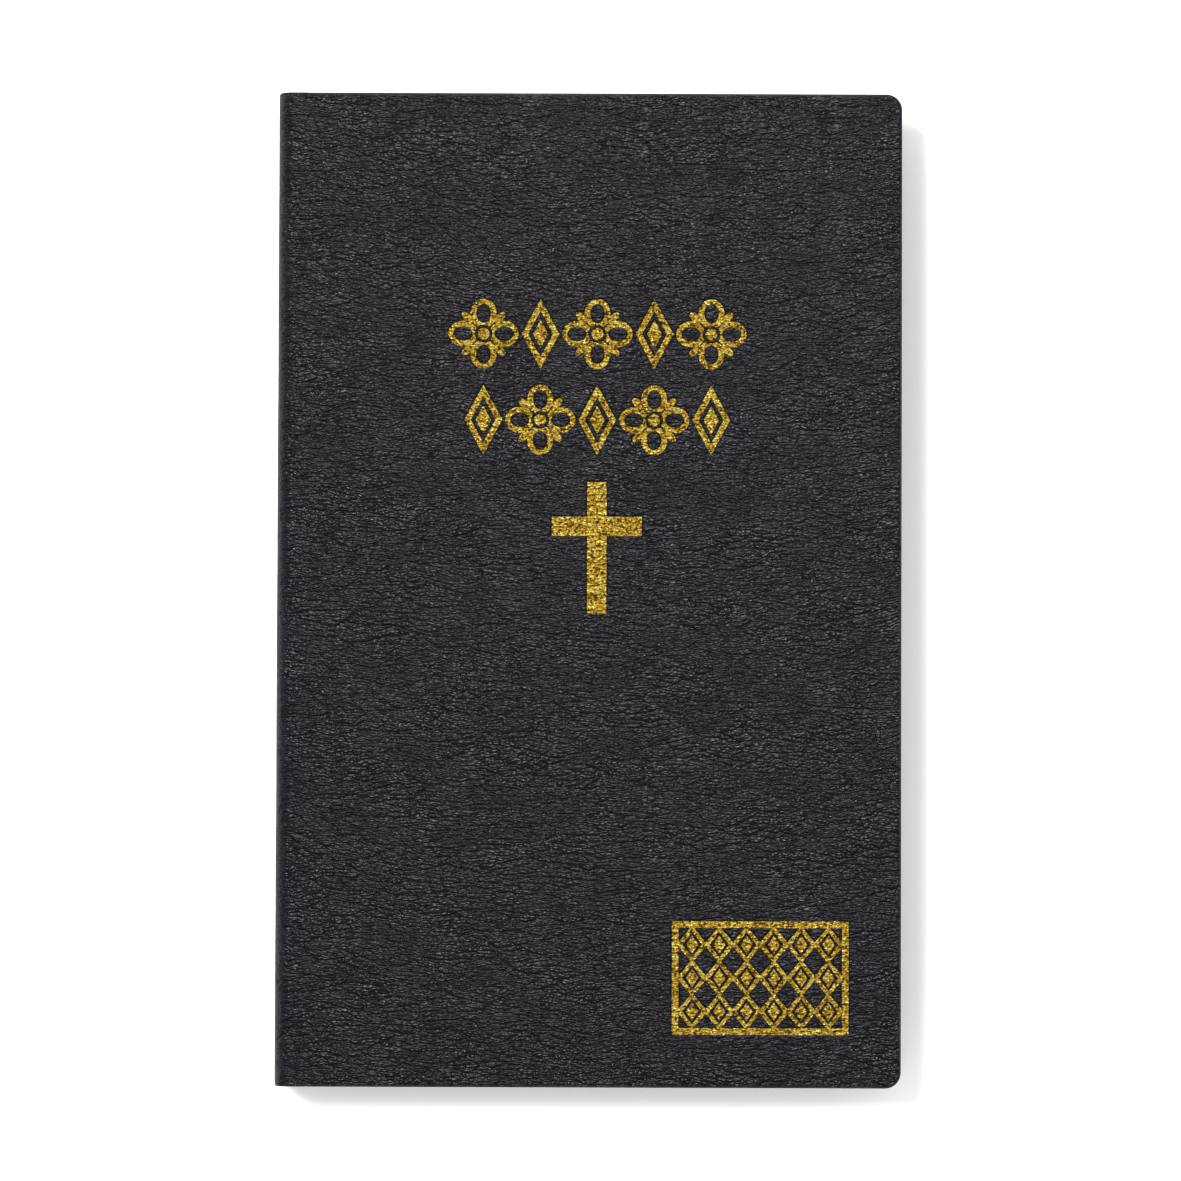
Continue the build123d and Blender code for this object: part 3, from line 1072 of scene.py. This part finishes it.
def keep_off_floor(lamp):
    """Leave the floor out of what a lamp lights, so that it adds no second shadow."""
    unlit = bpy.data.collections.new("unlit_by_" + lamp.name)
    unlit.objects.link(bpy.data.objects["floor"])
    unlit.collection_objects[0].light_linking.link_state = "EXCLUDE"
    lamp.light_linking.receiver_collection = unlit


# Strength of the surroundings as a light, in reflections and as seen
SKIES = ((0.63, None), (0.065, "Is Glossy Ray"), (1.7, "Is Camera Ray"))


def world_light():
    """White surroundings: bright to look at, softer as a light, and dim in reflections."""
    world = bpy.data.worlds.new("studio")
    bpy.context.scene.world = world
    world.use_nodes = True
    nodes, links = world.node_tree.nodes, world.node_tree.links
    nodes.clear()
    ray = nodes.new("ShaderNodeLightPath")
    shown = None
    for strength, kind in SKIES:
        sky = nodes.new("ShaderNodeBackground")
        sky.inputs[0].default_value = (1, 1, 1, 1)
        sky.inputs[1].default_value = strength
        if kind is None:
            shown = sky
            continue
        mix = nodes.new("ShaderNodeMixShader")
        links.new(ray.outputs[kind], mix.inputs[0])
        links.new(shown.outputs[0], mix.inputs[1])
        links.new(sky.outputs[0], mix.inputs[2])
        shown = mix
    output = nodes.new("ShaderNodeOutputWorld")
    links.new(shown.outputs[0], output.inputs[0])


FRAME_WIDTH = 250.5 * MM
SENSOR_WIDTH = 36
CAMERA_DISTANCE = 1.2
CAMERA_TARGET = (0.3 * MM, -0.34 * MM, THICKNESS * MM)
CAMERA_TILT = math.radians(2.0)
CAMERA_ROLL = math.radians(0.2)


def camera():
    """Long lens straight above the front cover, a touch towards the tail."""
    data = bpy.data.cameras.new("camera")
    data.sensor_width = SENSOR_WIDTH
    data.lens = SENSOR_WIDTH * CAMERA_DISTANCE / FRAME_WIDTH
    data.clip_start, data.clip_end = 0.05, 20
    eye = bpy.data.objects.new("camera", data)
    bpy.context.scene.collection.objects.link(eye)
    target = Vector(CAMERA_TARGET)
    turn = Matrix.Rotation(CAMERA_ROLL, 4, "Z") @ Matrix.Rotation(CAMERA_TILT, 4, "X")
    back = Matrix.Translation((0, 0, CAMERA_DISTANCE))
    eye.matrix_world = Matrix.Translation(target) @ turn @ back
    bpy.context.scene.camera = eye


# Place, size and power of each light
KEY = ((-0.60, 0.42, 1.9), 0.4, 17.5)
GRAIN = ((0.0, 1.35, 1.5), 0.3, 23)

stage()
world_light()
area_light("key_light", *KEY).visible_glossy = False
keep_off_floor(area_light("grain_light", *GRAIN))
camera()
bpy.context.scene.view_settings.view_transform = "Standard"
